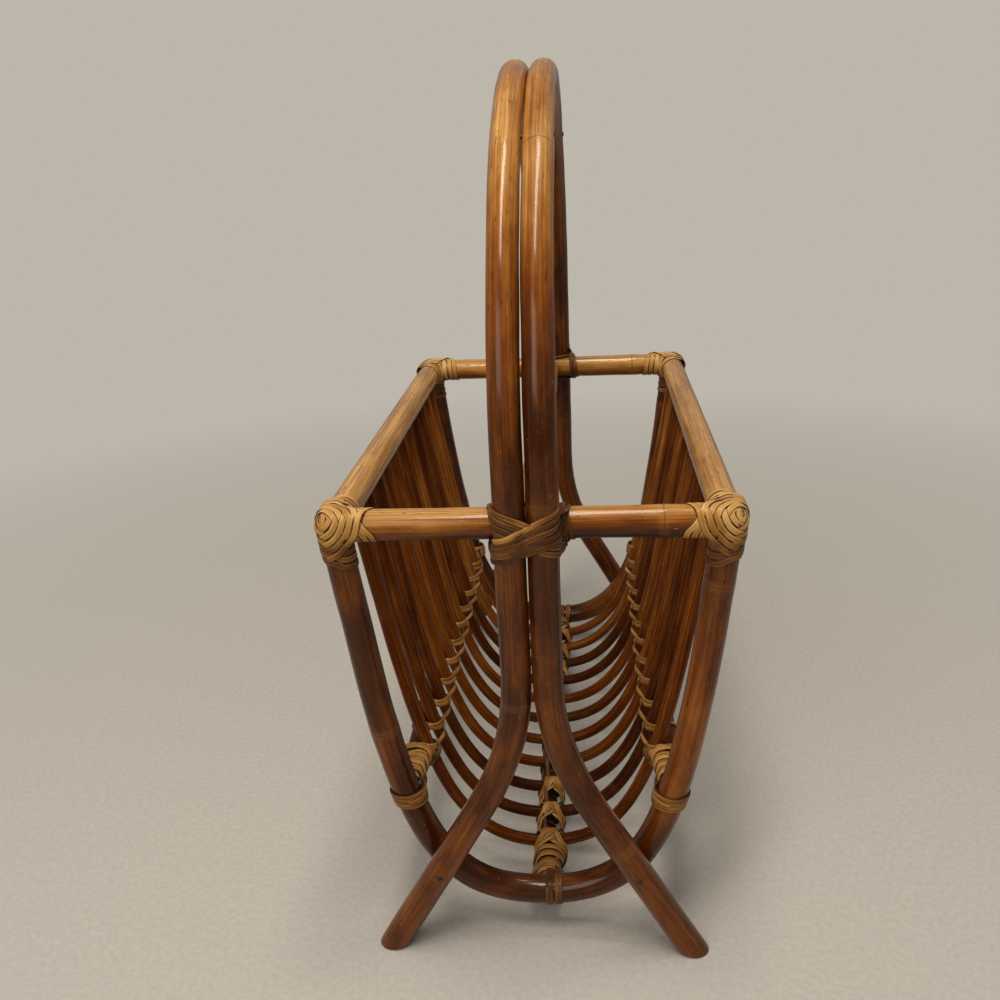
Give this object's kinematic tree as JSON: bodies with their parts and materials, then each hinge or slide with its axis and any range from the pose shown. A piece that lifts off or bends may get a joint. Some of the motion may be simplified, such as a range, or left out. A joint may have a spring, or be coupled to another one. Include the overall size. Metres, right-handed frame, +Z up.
{
  "type": "magazine basket",
  "caption": "Standing magazine basket of bent rattan canes: a ribbed trough between two U shaped end frames, with tall twin hoops as handle and splayed legs, bound with cane strip.",
  "frame": {"origin": "On the floor, under the middle of the basket.", "axes": "+Z is up, towards the handle. +Y runs along the basket to its rear end. +X points to its right side."},
  "size_m": [0.24, 0.4468, 0.5257],
  "materials": {
    "hoop_cane": "golden brown rattan under a glossy clear coat",
    "rim_cane": "light golden rattan under a glossy clear coat",
    "frame_cane": "darker brown rattan, satin clear coat",
    "rib_cane": "dark red brown thin rattan, satin clear coat",
    "cane_strip": "flat split cane strip, satin",
    "nail_steel": "dull dark steel"
  },
  "bodies": {
    "root": {"hoop_left": "hoop_cane", "hoop_right": "hoop_cane", "end_frame_front": "frame_cane", "end_frame_rear": "frame_cane", "crossbar_front": "rim_cane", "crossbar_rear": "rim_cane", "rail_left": "rim_cane", "rail_right": "rim_cane", "centre_rail": "rim_cane", "rib_1": "rib_cane", "rib_2": "rib_cane", "rib_3": "rib_cane", "rib_4": "rib_cane", "rib_5": "rib_cane", "rib_6": "rib_cane", "rib_7": "rib_cane", "rib_8": "rib_cane", "rib_9": "rib_cane", "rib_10": "rib_cane", "rib_11": "rib_cane", "stringer_left": "frame_cane", "stringer_right": "frame_cane", "stringer_bottom": "frame_cane", "corner_binding_front_left": "cane_strip", "corner_binding_front_right": "cane_strip", "hoop_lashing_front": "cane_strip", "end_lashing_front_left": "cane_strip", "end_lashing_front_right": "cane_strip", "end_lashing_front_bottom": "cane_strip", "corner_binding_rear_left": "cane_strip", "corner_binding_rear_right": "cane_strip", "hoop_lashing_rear": "cane_strip", "end_lashing_rear_left": "cane_strip", "end_lashing_rear_right": "cane_strip", "end_lashing_rear_bottom": "cane_strip", "chain_lashing_left": "cane_strip", "chain_lashing_right": "cane_strip", "chain_lashing_bottom": "cane_strip", "post_nail_front_left": "nail_steel", "rail_nail_front_left": "nail_steel", "hoop_nail_front_left": "nail_steel", "leg_nail_front_left": "nail_steel", "post_nail_front_right": "nail_steel", "rail_nail_front_right": "nail_steel", "hoop_nail_front_right": "nail_steel", "leg_nail_front_right": "nail_steel", "shoulder_nail_front": "nail_steel", "centre_rail_brad_front": "nail_steel", "post_nail_rear_left": "nail_steel", "rail_nail_rear_left": "nail_steel", "hoop_nail_rear_left": "nail_steel", "leg_nail_rear_left": "nail_steel", "post_nail_rear_right": "nail_steel", "rail_nail_rear_right": "nail_steel", "hoop_nail_rear_right": "nail_steel", "leg_nail_rear_right": "nail_steel", "shoulder_nail_rear": "nail_steel", "centre_rail_brad_rear": "nail_steel"}
  },
  "joints": []
}
